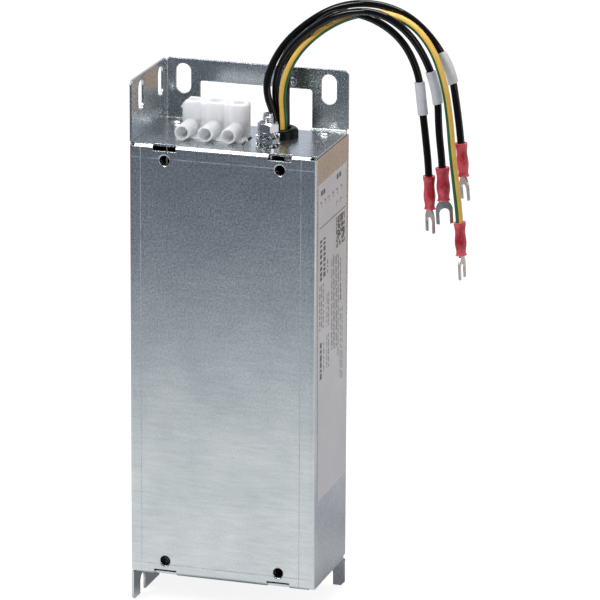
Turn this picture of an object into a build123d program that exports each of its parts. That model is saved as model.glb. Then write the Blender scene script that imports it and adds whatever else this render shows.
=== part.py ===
from build123d import *
import math
import os

# Three-phase line filter in a folded sheet housing.
# Frame: X across the width, +Y towards the mounting wall, +Z up.
# The origin is the middle of the rear face that lies on the wall.

# Housing sheet and its folds
body_width = 81.0
body_depth = 47.0
body_height = 188.0
sheet = 1.0
bend_inner = 1.0
seam = 0.2
relief_width = 2.3
relief_depth = 2.4
foot_relief = 0.7
foot_relief_rise = 1.0

# Mounting flanges and their left ears
flange_rise = 26.0
flange_drop = 13.0
ear_gap = 0.3
ear_depth = 45.5
ear_notch = 1.9
corner_cut = 1.5

# Keyhole-free slots in the flanges and ears
slot_width = 6.8
slot_length = 13.0
slot_pitch = 64.0
slot_rise = 17.4
ear_slot_front = 33.8
ear_slot_rear = 8.7
open_slot_top = 4.6

# Window punched in the upper flange
window_width = 49.4
window_height = 16.9
window_corner = 1.2
window_lip = 4.2

# Drive fixing holes in the front, extruded inwards and tapped
hole_pitch_x = 50.0
hole_pitch_z = 175.0
hole_diameter = 4.2
hole_rim = 0.6
collar_diameter = 6.4
collar_depth = 2.5
bend_slot_length = 10.0
bend_slot_front = 2.5
bend_slot_deck = 2.5

# Rear cover and its rivets
cover_clearance = 0.2
lug_edge = 2.5
lug_width = 12.0
lug_depth = 13.0
fold_depth = 8.0
rivet_edge = 8.1
rivet_inset = 8.5
rivet_diameter = 3.2
rivet_hole = 3.3
rivet_head = 5.8
rivet_rise = 1.1
rivet_bore = 1.6
rivet_tail = 1.6

# Terminal block on the deck
pole_count = 3
pole_pitch = 10.0
pole_middle = -10.0
block_inset = 10.1
block_depth = 15.9
block_edge = 4.6
entry_overhang = 2.3
entry_diameter = 6.5
entry_bore = 5.0
entry_height = 4.0
entry_foot = 4.0
tower_inset = 2.3
tower_width = 8.7
tower_depth = 8.4
tower_corner = 3.0
tower_height = 14.9
tower_round = 0.8
tower_slope = 2.2
well_diameter = 4.8
web_height = 13.9
web_width = 5.0
plate_setback = 3.5
base_thickness = 0.8
plug_inset = 0.9
plug_depth = 8.0
plug_slit = 1.1
tab_offset = 5.0
tab_width = 1.2
cage_size = 6.0
cage_lift = 0.2
cage_wall = 0.7
cage_length = 6.4
cage_fit = 0.05
clamp_screw = 3.5
clamp_screw_length = 3.4
clamp_screw_lift = 1.4
clamp_screw_head = 4.4
clamp_screw_head_height = 2.2
clamp_screw_slot = 0.8
clamp_screw_turn = 20.0

# Earth stud and the hardware stacked on it
stud_x = 17.0
stud_inset = 9.3
stud_diameter = 4.8
stud_hole = 5.3
stud_rise = 15.0
stud_tip = 0.6
stud_head = 8.5
stud_head_height = 2.0
washer_diameter = 10.0
washer_hole = 5.3
washer_thickness = 1.0
washer_step = 0.2
washer_play = 0.02
tooth_washer_thickness = 1.8
tooth_washer_upper = 1.6
tooth_count = 12
tooth_depth = 1.3
tooth_width = 1.3
tooth_turn = 14.0
spring_thickness = 1.0
spring_diameter = 8.6
spring_gap = 0.9
nut_across_flats = 8.0
nut_height = 4.0
nut_corner = 0.9
nut_foot_cut = 0.5
nut_top_cut = 1.2
nut_turn = -3.0

# Grommet round the lead hole
grommet_x = 16.2
grommet_y = -16.7
grommet_diameter = 14.3
grommet_bore = 8.0
grommet_rise = 4.0
grommet_neck = 10.6
grommet_tail = 2.0
grommet_foot = 1.0
grommet_outer_round = 1.85
grommet_inner_round = 1.2

# Leads, their markers, crimp sleeves and fork tongues
lead_diameter = 3.1
lead_square = 3.2
marker_diameter = 4.3
marker_length = 13.8
sleeve_mouth = 5.9
sleeve_waist = 5.0
sleeve_belly = 5.5
sleeve_foot = 5.6
sleeve_flatness = 0.84
sleeve_length = 14.0
sleeve_cover = 8.0
sleeve_fit = 0.1
barrel_diameter = 3.3
fork_reach = 10.1
fork_width = 7.1
fork_neck = 3.8
fork_shoulder = 3.3
fork_thickness = 0.8
fork_slot = 4.3
fork_slot_length = 6.7
fork_tip = 0.45

# Rating label on the right wall, left blank
label_width = 40.0
label_height = 137.0
label_thickness = 0.2
label_top = 12.7
label_front = 2.4
label_tilt = 0.8

# Board and parts inside
insulation = 0.3
standoff_height = 5.4
standoff_diameter = 6.0
standoff_bore = 3.0
board_thickness = 1.6
board_side_gap = 4.5
board_end_gap = 9.0
board_hole_side = 5.0
board_hole_end = 6.0
sheet_side_margin = 1.0
sheet_end_margin = 2.0
board_hole = 3.4
board_screw = 2.9
board_screw_head = 5.6
board_screw_head_height = 2.0
board_screw_round = 0.6
board_screw_gap = 0.6
core_outer = 50.0
core_inner = 28.0
core_height = 18.0
core_round = 2.0
core_z = 12.0
winding_wire = 1.8
winding_span = 96.0
winding_fit = 0.1
x_cap_width = 26.5
x_cap_height = 11.0
x_cap_depth = 20.0
x_cap_pitch = 14.0
x_cap_x = -12.0
x_cap_z = -42.0
x_cap_foot = 2.0
y_cap_width = 13.0
y_cap_height = 6.0
y_cap_depth = 12.0
y_cap_pitch = 10.0
y_cap_x = 18.0
y_cap_foot = 1.5
resistor_length = 9.0
resistor_diameter = 3.4
resistor_pitch = 5.5
resistor_foot = 1.0
resistor_z = -72.0
lead_foot = 0.7
part_lift = 0.5
wire_diameter = 2.2
input_wire_setback = 7.9
input_wire_z = 66.0
input_bend = 8.0
stub_low = 62.0
stub_high = 70.0
stub_bend = 6.0
lug_thickness = 0.8
lug_diameter = 9.6
lug_reach = 8.0
lug_barrel = 4.4
lug_barrel_length = 6.0
earth_wire_gap = 7.0
earth_wire_bend = 2.4
earth_wire_z = 56.0

# Values that follow from the sizes above
deck_z = body_height / 2
half_width = body_width / 2
front_y = -body_depth
bend_outer = bend_inner + sheet
under_deck = deck_z - sheet
wall_half = under_deck - seam
strip_half = half_width - relief_width
clear = 0.1
pole_x = [pole_middle + pole_pitch * (k - (pole_count - 1) / 2) for k in range(pole_count)]
entry_z = deck_z + entry_height
tower_top = deck_z + tower_height
block_left = pole_x[0] - block_edge
block_right = pole_x[-1] + block_edge
block_front = front_y + block_inset
block_rear = block_front + block_depth
plate_front = block_front + plate_setback
entry_front = block_front - entry_overhang
tower_y = block_rear - tower_inset
plug_left = block_left + plug_inset
plug_right = block_right - plug_inset
plug_near = plate_front + plug_inset
plug_far = block_rear - plug_inset
hole_points = [(sx * hole_pitch_x / 2, sz * hole_pitch_z / 2) for sx in (-1, 1) for sz in (-1, 1)]
rivet_points = [(-half_width + rivet_edge, -rivet_inset), (half_width - rivet_edge, -rivet_inset)]
lug_outer = half_width - lug_edge
lug_inner = lug_outer - lug_width
stud_y = front_y + stud_inset
board_width = body_width - 2 * board_side_gap
board_height = body_height - 2 * board_end_gap
board_hole_pitch_x = board_width - 2 * board_hole_side
board_hole_pitch_z = board_height - 2 * board_hole_end
earth_wire_x = half_width - earth_wire_gap
board_back = -sheet - insulation - standoff_height
board_front = board_back - board_thickness

os.makedirs("parts", exist_ok=True)


# Housing: front, deck, floor, side walls, rear flanges and ears
with BuildPart() as housing:
    # Front, deck, floor and flanges are one strip folded across the width
    with BuildSketch(Plane.YZ):
        with BuildLine():
            FilletPolyline(
                (-sheet, deck_z + flange_rise),
                (-sheet, deck_z),
                (front_y, deck_z),
                (front_y, -deck_z),
                (-sheet, -deck_z),
                (-sheet, -deck_z - flange_drop),
                radius=[bend_inner, bend_outer, bend_outer, bend_inner],
            )
            offset(amount=sheet, side=Side.LEFT)
        make_face()
    extrude(amount=half_width, both=True)
    # The strip stops short of the front corners
    with BuildSketch(Plane.XY.offset(-deck_z - clear)):
        with Locations((-half_width, front_y), (half_width, front_y)):
            Rectangle(2 * relief_width, 2 * relief_depth)
    extrude(amount=body_height + 2 * clear, mode=Mode.SUBTRACT)
    # Side walls fold back from the front and end just under the deck
    with BuildSketch(Plane.XY.offset(-wall_half)):
        with BuildLine():
            FilletPolyline(
                (-half_width, 0),
                (-half_width, front_y),
                (half_width, front_y),
                (half_width, 0),
                radius=[bend_outer, bend_outer],
            )
            offset(amount=sheet, side=Side.LEFT)
        make_face()
        with Locations((0, front_y)):
            Rectangle(2 * strip_half, 4 * sheet, mode=Mode.SUBTRACT)
    extrude(amount=2 * wall_half)
    for up, reach in ((1, flange_rise), (-1, flange_drop)):
        # The left end of each flange folds forward into an ear, free of the deck
        with BuildSketch(Plane.XY.offset(up * (deck_z + ear_gap))):
            with Locations((-half_width, 0)):
                Rectangle(2 * relief_width, 2 * relief_depth)
        extrude(amount=up * (reach - ear_gap + clear), mode=Mode.SUBTRACT)
        with BuildSketch(Plane.XY.offset(up * (deck_z + ear_gap))):
            with BuildLine():
                FilletPolyline(
                    (-strip_half, 0),
                    (-half_width, 0),
                    (-half_width, -ear_depth),
                    radius=[bend_outer],
                )
                offset(amount=sheet, side=Side.LEFT)
            make_face()
        extrude(amount=up * (reach - ear_gap))
        # The deck's corner under the ear's bend is lanced free and stays flat
        with BuildSketch(Plane.XY.offset(up * (under_deck - clear))):
            with Locations((-half_width, 0)):
                Rectangle(2 * relief_width, 2 * relief_depth)
        extrude(amount=up * (sheet + clear + ear_gap), mode=Mode.SUBTRACT)
        with BuildSketch(Plane.XY.offset(up * under_deck)):
            with Locations((-half_width + (relief_width - clear) / 2, -(relief_depth + seam) / 2)):
                Rectangle(relief_width - clear, relief_depth - seam)
        extrude(amount=up * sheet)
        # A small relief at the flange's right foot, and a notch on top of the ear's bend
        with BuildSketch(Plane.XY.offset(up * (under_deck - clear))):
            with Locations((half_width, 0)):
                Rectangle(2 * foot_relief, 2 * relief_depth)
        extrude(amount=up * (sheet + clear + foot_relief_rise), mode=Mode.SUBTRACT)
        bend_top = Plane(origin=(-half_width, 0, up * (deck_z + reach)), x_dir=(1, 1, 0), z_dir=(1, -1, 0))
        with BuildSketch(bend_top):
            Rectangle(ear_notch, ear_notch, rotation=45)
        extrude(amount=2 * bend_outer, both=True, mode=Mode.SUBTRACT)
    # Clipped corners of the flanges and ears
    for end in (0, -1):
        tips = housing.edges().filter_by(Axis.Y).group_by(Axis.Z)[end].sort_by(Axis.X)
        chamfer(tips[-1], length=corner_cut)
        fronts = housing.edges().filter_by(Axis.X).group_by(Axis.Z)[end].sort_by(Axis.Y)
        chamfer(fronts[0], length=corner_cut)
    # Slots of the upper flange and upper ear
    with BuildSketch(Plane.XZ):
        with Locations((-slot_pitch / 2, deck_z + slot_rise), (slot_pitch / 2, deck_z + slot_rise)):
            SlotOverall(slot_length, slot_width, rotation=90)
    extrude(amount=2 * sheet, both=True, mode=Mode.SUBTRACT)
    with BuildSketch(Plane.YZ.offset(-half_width)):
        with Locations((-ear_slot_front, deck_z + slot_rise), (-ear_slot_rear, deck_z + slot_rise)):
            SlotOverall(slot_length, slot_width, rotation=90)
    extrude(amount=2 * sheet, both=True, mode=Mode.SUBTRACT)
    # Open slots of the lower flange and lower ear
    open_slot = 2 * flange_drop
    open_slot_z = -deck_z - open_slot_top - open_slot / 2
    with BuildSketch(Plane.XZ):
        with Locations((-slot_pitch / 2, open_slot_z), (slot_pitch / 2, open_slot_z)):
            SlotOverall(open_slot, slot_width, rotation=90)
    extrude(amount=2 * sheet, both=True, mode=Mode.SUBTRACT)
    with BuildSketch(Plane.YZ.offset(-half_width)):
        with Locations((-ear_slot_front, open_slot_z), (-ear_slot_rear, open_slot_z)):
            SlotOverall(open_slot, slot_width, rotation=90)
    extrude(amount=2 * sheet, both=True, mode=Mode.SUBTRACT)
    # Window of the upper flange, which runs on through the bend into the deck
    window_foot = sheet + clear
    with BuildSketch(Plane.XZ.offset(-sheet)) as window:
        with Locations((0, deck_z + (window_height - window_foot) / 2)):
            Rectangle(window_width, window_height + window_foot)
        fillet(window.vertices().group_by(Axis.Z)[-1], radius=window_corner)
    extrude(amount=sheet + window_lip, mode=Mode.SUBTRACT)
    # Extruded collars behind the front, then the fixing holes and their rims
    with BuildSketch(Plane.XZ.offset(body_depth - sheet)):
        with Locations(*hole_points):
            Circle(collar_diameter / 2)
    extrude(amount=-collar_depth)
    with BuildSketch(Plane.XZ.offset(body_depth)):
        with Locations(*hole_points):
            Circle(hole_diameter / 2)
    extrude(amount=-sheet - collar_depth - clear, mode=Mode.SUBTRACT)
    rims = housing.edges().filter_by(GeomType.CIRCLE).group_by(Axis.Y)[0]
    fillet(rims, radius=hole_rim)
    # Tooling slots across the front bends, in line with the fixing holes
    for up in (1, -1):
        with BuildSketch(Plane.XY.offset(up * (deck_z - bend_slot_front))):
            with Locations((-hole_pitch_x / 2, front_y), (hole_pitch_x / 2, front_y)):
                Rectangle(bend_slot_length, 2 * bend_slot_deck)
        extrude(amount=up * (bend_slot_front + clear), mode=Mode.SUBTRACT)
    # Deck openings: terminal block, stud, grommet and rivets
    with BuildSketch(Plane.XY.offset(deck_z)):
        with Locations(((plug_left + block_right) / 2, (plug_near + plug_far) / 2)):
            Rectangle(block_right - plug_left, plug_far - plug_near)
        with Locations((block_right + plug_slit / 2, (block_front + block_rear) / 2)):
            Rectangle(plug_slit, block_depth - 2 * plug_inset)
        with Locations((stud_x, stud_y)):
            Circle(stud_hole / 2)
        with Locations((grommet_x, grommet_y)):
            Circle(grommet_neck / 2)
        with Locations(*rivet_points):
            Circle(rivet_hole / 2)
    extrude(amount=-sheet - seam / 2, mode=Mode.SUBTRACT)
    with BuildSketch(Plane.XY.offset(-deck_z)):
        with Locations(*rivet_points):
            Circle(rivet_hole / 2)
    extrude(amount=sheet + seam / 2, mode=Mode.SUBTRACT)

housing.part.label = "housing"
export_step(housing.part, "parts/housing.step")


# Rear cover: a plate folded under the deck and over the floor, deeper at its riveted lugs
cover_half = half_width - sheet - cover_clearance
with BuildPart() as back_cover:
    with BuildSketch(Plane.YZ):
        with BuildLine():
            FilletPolyline(
                (-lug_depth, under_deck),
                (0, under_deck),
                (0, -under_deck),
                (-lug_depth, -under_deck),
                radius=[bend_outer, bend_outer],
            )
            offset(amount=sheet, side=Side.RIGHT)
        make_face()
    extrude(amount=cover_half, both=True)
    for up in (1, -1):
        with BuildSketch(Plane.XY.offset(up * (under_deck - 2 * bend_outer))):
            with Locations((0, -lug_depth)):
                Rectangle(2 * lug_inner, 2 * (lug_depth - fold_depth))
            with Locations((-cover_half, 0), (cover_half, 0)):
                Rectangle(2 * (cover_half - lug_outer), 2 * lug_depth + 2 * clear)
        extrude(amount=up * (2 * bend_outer + clear), mode=Mode.SUBTRACT)
    with BuildSketch(Plane.XY.offset(-deck_z)):
        with Locations(*rivet_points):
            Circle(rivet_hole / 2)
    extrude(amount=body_height, mode=Mode.SUBTRACT)

back_cover.part.label = "back_cover"
export_step(back_cover.part, "parts/back_cover.step")


# Blind rivet that joins the cover's lugs to the deck and floor
rivet_low = -2 * sheet - rivet_tail
with BuildPart() as rivet:
    with BuildSketch(Plane.XZ):
        with BuildLine():
            Polyline(
                (rivet_bore / 2, rivet_rise),
                (rivet_bore / 2, 0),
                (0, 0),
                (0, rivet_low),
                (rivet_diameter / 2, rivet_low),
                (rivet_diameter / 2, 0),
                (rivet_head / 2, 0),
            )
            ThreePointArc(
                (rivet_head / 2, 0),
                (rivet_head / 2 * 0.72, rivet_rise * 0.72),
                (rivet_bore / 2, rivet_rise),
            )
        make_face()
    revolve(axis=Axis.Z)

with BuildPart() as deck_rivets:
    with Locations(*[(x, y, deck_z) for x, y in rivet_points]):
        add(rivet.part)

deck_rivets.part.label = "deck_rivets"
export_step(deck_rivets.part, "parts/deck_rivets.step")

with BuildPart() as floor_rivets:
    with Locations(*[Location((x, y, -deck_z), (180, 0, 0)) for x, y in rivet_points]):
        add(rivet.part)

floor_rivets.part.label = "floor_rivets"
export_step(floor_rivets.part, "parts/floor_rivets.step")


# Terminal block body: round wire entries in front, screw towers behind
cage_z = deck_z + base_thickness + cage_lift
with BuildPart() as terminal_body:
    with BuildSketch(Plane.XY.offset(deck_z)):
        with Locations(*[(x, tower_y) for x in pole_x]):
            RectangleRounded(tower_width, tower_depth, tower_corner)
    extrude(amount=tower_height)
    fillet(terminal_body.faces().sort_by(Axis.Z)[-pole_count:].edges(), radius=tower_round)
    # The outer tower slopes off at its top and carries a small ledge below the slope
    slope_x = pole_x[0] - tower_width / 2
    with BuildSketch(Plane.XZ.offset(-tower_y)):
        with BuildLine():
            Polyline(
                (slope_x - clear, tower_top - tower_slope),
                (slope_x - clear, tower_top + clear),
                (slope_x + tower_slope, tower_top + clear),
                close=True,
            )
        make_face()
    extrude(amount=tower_depth, both=True, mode=Mode.SUBTRACT)
    with BuildSketch(Plane.XY.offset(tower_top - tower_slope - 2 * tower_round)):
        with Locations((slope_x, tower_y - tower_corner / 2)):
            RectangleRounded(2 * tower_round, 2 * tower_round, tower_round / 2)
    extrude(amount=tower_round)
    # Web between the towers, base plate and the plug that fills the deck's opening
    with BuildSketch(Plane.XY.offset(deck_z)):
        with Locations((pole_middle, tower_y)):
            Rectangle((pole_count - 1) * pole_pitch, web_width)
    extrude(amount=web_height)
    with BuildSketch(Plane.XY.offset(deck_z)):
        with Locations(((block_left + block_right) / 2, (plate_front + block_rear) / 2)):
            Rectangle(block_right - block_left, block_rear - plate_front)
    extrude(amount=base_thickness)
    with BuildSketch(Plane.XY.offset(deck_z)):
        with Locations(((plug_left + plug_right) / 2, (plug_near + plug_far) / 2)):
            Rectangle(plug_right - plug_left - 2 * seam, plug_far - plug_near - 2 * seam)
    extrude(amount=-plug_depth)
    # Wire entries, each on a narrow foot behind the plate's front edge
    with BuildSketch(Plane.XZ.offset(-entry_front)):
        with Locations(*[(x, entry_z) for x in pole_x]):
            Circle(entry_diameter / 2)
    extrude(amount=entry_front - tower_y)
    with BuildSketch(Plane.XY.offset(deck_z)):
        with Locations(*[(x, (tower_y + plate_front) / 2) for x in pole_x]):
            Rectangle(entry_foot, tower_y - plate_front)
    extrude(amount=entry_height)
    # Screw wells, wire bores and the cavities that hold the clamp cages
    with BuildSketch(Plane.XY.offset(tower_top)):
        with Locations(*[(x, tower_y) for x in pole_x]):
            Circle(well_diameter / 2)
    extrude(amount=-(tower_height - entry_height), mode=Mode.SUBTRACT)
    with BuildSketch(Plane.XZ.offset(-entry_front)):
        with Locations(*[(x, entry_z) for x in pole_x]):
            Circle(entry_bore / 2)
    extrude(amount=entry_front - tower_y, mode=Mode.SUBTRACT)
    with BuildSketch(Plane.XY.offset(cage_z)):
        with Locations(*[(x, tower_y) for x in pole_x]):
            Rectangle(cage_size + 2 * cage_fit, cage_length + 2 * cage_fit)
    extrude(amount=cage_size + cage_fit, mode=Mode.SUBTRACT)
    # Snap tab across the slit at the right end
    with BuildSketch(Plane.XY.offset(deck_z - sheet)):
        with Locations((block_right, tower_y - tab_offset)):
            Rectangle(2 * plug_slit - 2 * seam, tab_width)
    extrude(amount=sheet + base_thickness / 2)

terminal_body.part.label = "terminal_body"
export_step(terminal_body.part, "parts/terminal_body.step")


# Clamp cages that draw the wire up against the busbar
with BuildPart() as terminal_clamps:
    with BuildSketch(Plane.XZ.offset(-tower_y + cage_length / 2)):
        with Locations(*[(x, cage_z + cage_size / 2) for x in pole_x]):
            Rectangle(cage_size, cage_size)
            Rectangle(cage_size - 2 * cage_wall, cage_size - 2 * cage_wall, mode=Mode.SUBTRACT)
    extrude(amount=-cage_length)
    with BuildSketch(Plane.XY.offset(cage_z + cage_size)):
        with Locations(*[(x, tower_y) for x in pole_x]):
            Circle(clamp_screw / 2 + cage_fit)
    extrude(amount=-1.5 * cage_wall, mode=Mode.SUBTRACT)

terminal_clamps.part.label = "terminal_clamps"
export_step(terminal_clamps.part, "parts/terminal_clamps.step")


# Slotted clamp screws, reached down the wells
screw_seat = cage_z + cage_size + clamp_screw_lift
with BuildPart() as terminal_screws:
    with BuildSketch(Plane.XY.offset(screw_seat)):
        with Locations(*[(x, tower_y) for x in pole_x]):
            Circle(clamp_screw_head / 2)
    extrude(amount=clamp_screw_head_height)
    with BuildSketch(Plane.XY.offset(screw_seat)):
        with Locations(*[(x, tower_y) for x in pole_x]):
            Circle(clamp_screw / 2)
    extrude(amount=-clamp_screw_length)
    with BuildSketch(Plane.XY.offset(screw_seat + clamp_screw_head_height)):
        with Locations(*[(x, tower_y) for x in pole_x]):
            Rectangle(clamp_screw_head + clear, clamp_screw_slot, rotation=clamp_screw_turn)
    extrude(amount=-clamp_screw_head_height / 2, mode=Mode.SUBTRACT)

terminal_screws.part.label = "terminal_screws"
export_step(terminal_screws.part, "parts/terminal_screws.step")


# Earth lug clamped under the deck by the stud's head
with BuildPart() as earth_lug:
    with BuildSketch(Plane.XY.offset(under_deck)):
        with Locations((stud_x, stud_y)):
            Circle(lug_diameter / 2)
        with Locations((stud_x + lug_reach / 2, stud_y)):
            Rectangle(lug_reach, lug_barrel)
        with Locations((stud_x, stud_y)):
            Circle(stud_hole / 2, mode=Mode.SUBTRACT)
    extrude(amount=-lug_thickness)
    barrel_z = under_deck - lug_barrel / 2
    with BuildSketch(Plane.YZ.offset(stud_x + lug_reach - seam)):
        with Locations((stud_y, barrel_z)):
            Circle(lug_barrel / 2)
    extrude(amount=lug_barrel_length)

earth_lug.part.label = "earth_lug"
export_step(earth_lug.part, "parts/earth_lug.step")


# Earth stud, headed under the lug, chamfered at its tip
with BuildPart() as earth_stud:
    with BuildSketch(Plane.XY.offset(under_deck - lug_thickness)):
        with Locations((stud_x, stud_y)):
            Circle(stud_head / 2)
    extrude(amount=-stud_head_height)
    with BuildSketch(Plane.XY.offset(under_deck - lug_thickness)):
        with Locations((stud_x, stud_y)):
            Circle(stud_diameter / 2)
    extrude(amount=stud_rise + sheet + lug_thickness)
    chamfer(earth_stud.faces().sort_by(Axis.Z)[-1].edges(), length=stud_tip)

earth_stud.part.label = "earth_stud"
export_step(earth_stud.part, "parts/earth_stud.step")


# Hardware on the stud, from the deck up: plain, toothed, two plain, toothed, spring, nut
first_tooth_z = deck_z + washer_thickness
pair_z = first_tooth_z + tooth_washer_thickness
second_tooth_z = pair_z + 2 * washer_thickness
spring_z = second_tooth_z + tooth_washer_upper
nut_z = spring_z + spring_thickness

with BuildPart() as plain_washers:
    for level in (deck_z, pair_z, pair_z + washer_thickness):
        with BuildSketch(Plane.XY.offset(level)):
            with Locations((stud_x, stud_y)):
                Circle(washer_diameter / 2 - (washer_step if level > deck_z else 0))
                Circle(washer_hole / 2, mode=Mode.SUBTRACT)
        extrude(amount=washer_thickness - washer_play)

plain_washers.part.label = "plain_washers"
export_step(plain_washers.part, "parts/plain_washers.step")

with BuildPart() as toothed_washers:
    for level, height in ((first_tooth_z, tooth_washer_thickness), (second_tooth_z, tooth_washer_upper)):
        with BuildSketch(Plane.XY.offset(level)):
            with Locations((stud_x, stud_y)):
                Circle(washer_diameter / 2 - tooth_depth)
                with PolarLocations(washer_diameter / 2 - tooth_depth, tooth_count):
                    Rectangle(2 * tooth_depth, tooth_width, rotation=tooth_turn)
                Circle(washer_hole / 2, mode=Mode.SUBTRACT)
        extrude(amount=height)

toothed_washers.part.label = "toothed_washers"
export_step(toothed_washers.part, "parts/toothed_washers.step")

with BuildPart() as spring_washer:
    with BuildSketch(Plane.XY.offset(spring_z)):
        with Locations((stud_x, stud_y)):
            Circle(spring_diameter / 2)
            Circle(washer_hole / 2, mode=Mode.SUBTRACT)
        with Locations((stud_x - spring_diameter / 2, stud_y)):
            Rectangle(spring_diameter, spring_gap, rotation=30, mode=Mode.SUBTRACT)
    extrude(amount=spring_thickness)

spring_washer.part.label = "spring_washer"
export_step(spring_washer.part, "parts/spring_washer.step")

with BuildPart() as earth_nut:
    with BuildSketch(Plane.XY.offset(nut_z)):
        with Locations((stud_x, stud_y)):
            RegularPolygon(nut_across_flats / 2, 6, major_radius=False, rotation=nut_turn)
    extrude(amount=nut_height)
    # The corners are turned off below, and more so above
    with BuildSketch(Plane.XZ.offset(-stud_y)):
        with BuildLine():
            Polyline(
                (stud_x, nut_z),
                (stud_x + nut_across_flats / 2, nut_z),
                (stud_x + nut_across_flats / 2 + nut_corner, nut_z + nut_foot_cut),
                (stud_x + nut_across_flats / 2 + nut_corner, nut_z + nut_height - nut_top_cut),
                (stud_x + nut_across_flats / 2 - nut_foot_cut, nut_z + nut_height),
                (stud_x, nut_z + nut_height),
                close=True,
            )
        make_face()
    revolve(axis=Axis((stud_x, stud_y, 0), (0, 0, 1)), mode=Mode.INTERSECT)
    with BuildSketch(Plane.XY.offset(nut_z)):
        with Locations((stud_x, stud_y)):
            Circle(stud_diameter / 2)
    extrude(amount=nut_height, mode=Mode.SUBTRACT)

earth_nut.part.label = "earth_nut"
export_step(earth_nut.part, "parts/earth_nut.step")


# Rubber grommet snapped into the deck
with BuildPart() as grommet:
    with BuildSketch(Plane.XZ.offset(-grommet_y)):
        with BuildLine():
            Polyline(
                (grommet_x + grommet_bore / 2, deck_z + grommet_rise),
                (grommet_x + grommet_bore / 2, under_deck - grommet_tail),
                (grommet_x + grommet_diameter / 2 - grommet_foot, under_deck - grommet_tail),
                (grommet_x + grommet_diameter / 2 - grommet_foot, under_deck),
                (grommet_x + grommet_neck / 2, under_deck),
                (grommet_x + grommet_neck / 2, deck_z),
                (grommet_x + grommet_diameter / 2, deck_z),
                (grommet_x + grommet_diameter / 2, deck_z + grommet_rise),
                close=True,
            )
        make_face()
    revolve(axis=Axis((grommet_x, grommet_y, 0), (0, 0, 1)))
    outer_ring = grommet.edges().filter_by(GeomType.CIRCLE).group_by(Axis.Z)[-1].sort_by(SortBy.RADIUS)[-1]
    fillet(outer_ring, radius=grommet_outer_round)
    inner_ring = grommet.edges().filter_by(GeomType.CIRCLE).group_by(Axis.Z)[-1].sort_by(SortBy.RADIUS)[0]
    fillet(inner_ring, radius=grommet_inner_round)

grommet.part.label = "grommet"
export_step(grommet.part, "parts/grommet.step")


# Leads rise from the grommet, arch over to the right and hang beside the housing
left_x = grommet_x - lead_square / 2
right_x = grommet_x + lead_square / 2
near_y = grommet_y - lead_square / 2
far_y = grommet_y + lead_square / 2
routes = {
    "1": [
        (left_x, near_y, under_deck), (left_x, near_y, 100.5), (8.8, -18.2, 115.0), (14.0, -15.2, 130.0),
        (24.0, -12.6, 141.0), (37.5, -11.6, 149.8), (52.5, -10.8, 152.5), (67.5, -10.3, 149.0),
        (79.5, -10.5, 139.0), (87.5, -11.0, 126.0), (90.0, -11.0, 111.5), (91.8, -11.0, 98.5),
        (92.8, -11.0, 88.0),
    ],
    "2": [
        (right_x, far_y, under_deck), (right_x, far_y, 100.5), (16.4, -11.6, 115.0), (19.0, -12.9, 129.5),
        (27.8, -14.7, 140.0), (39.0, -15.6, 149.2), (54.5, -15.8, 147.5), (67.0, -14.0, 139.0),
        (74.0, -13.0, 125.5), (75.7, -13.0, 111.0), (77.5, -13.0, 97.0), (79.0, -13.0, 83.5),
        (79.4, -13.0, 73.3),
    ],
    "3": [
        (left_x, far_y, under_deck), (left_x, far_y, 100.5), (12.4, -15.2, 115.5), (18.0, -17.5, 130.0),
        (29.0, -19.0, 141.0), (42.0, -19.0, 149.0), (57.5, -19.0, 151.0), (70.5, -18.0, 143.5),
        (78.5, -15.5, 130.5), (83.0, -15.0, 116.0), (83.5, -15.0, 101.5), (85.2, -15.0, 88.0),
        (85.8, -15.0, 78.0),
    ],
    "earth": [
        (right_x, near_y, under_deck), (right_x, near_y, 100.5), (17.2, -20.0, 115.0), (21.9, -19.8, 128.5),
        (31.3, -16.8, 139.2), (43.5, -12.8, 146.5), (57.0, -12.0, 149.0), (71.0, -14.0, 146.0),
        (81.5, -18.0, 136.5), (87.0, -19.5, 122.5), (89.3, -19.5, 108.5), (90.6, -19.5, 94.0),
        (92.4, -19.5, 80.0), (94.1, -19.5, 67.0), (94.8, -19.5, 56.5),
    ],
}
# Share of the whole lead at which each marker's middle sits, and the turn of each fork
marker_share = {"1": 0.762, "2": 0.747, "3": 0.749}
fork_turn = {"1": 46.0, "2": 46.0, "3": -25.0, "earth": -85.0}
# Where along the crimp sleeve each of its widths is reached
sleeve_widths = [
    (0.0, sleeve_mouth), (0.14, sleeve_belly), (0.32, sleeve_waist), (0.5, sleeve_belly),
    (0.76, (sleeve_waist + sleeve_belly) / 2), (1.0, sleeve_foot),
]

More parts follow.
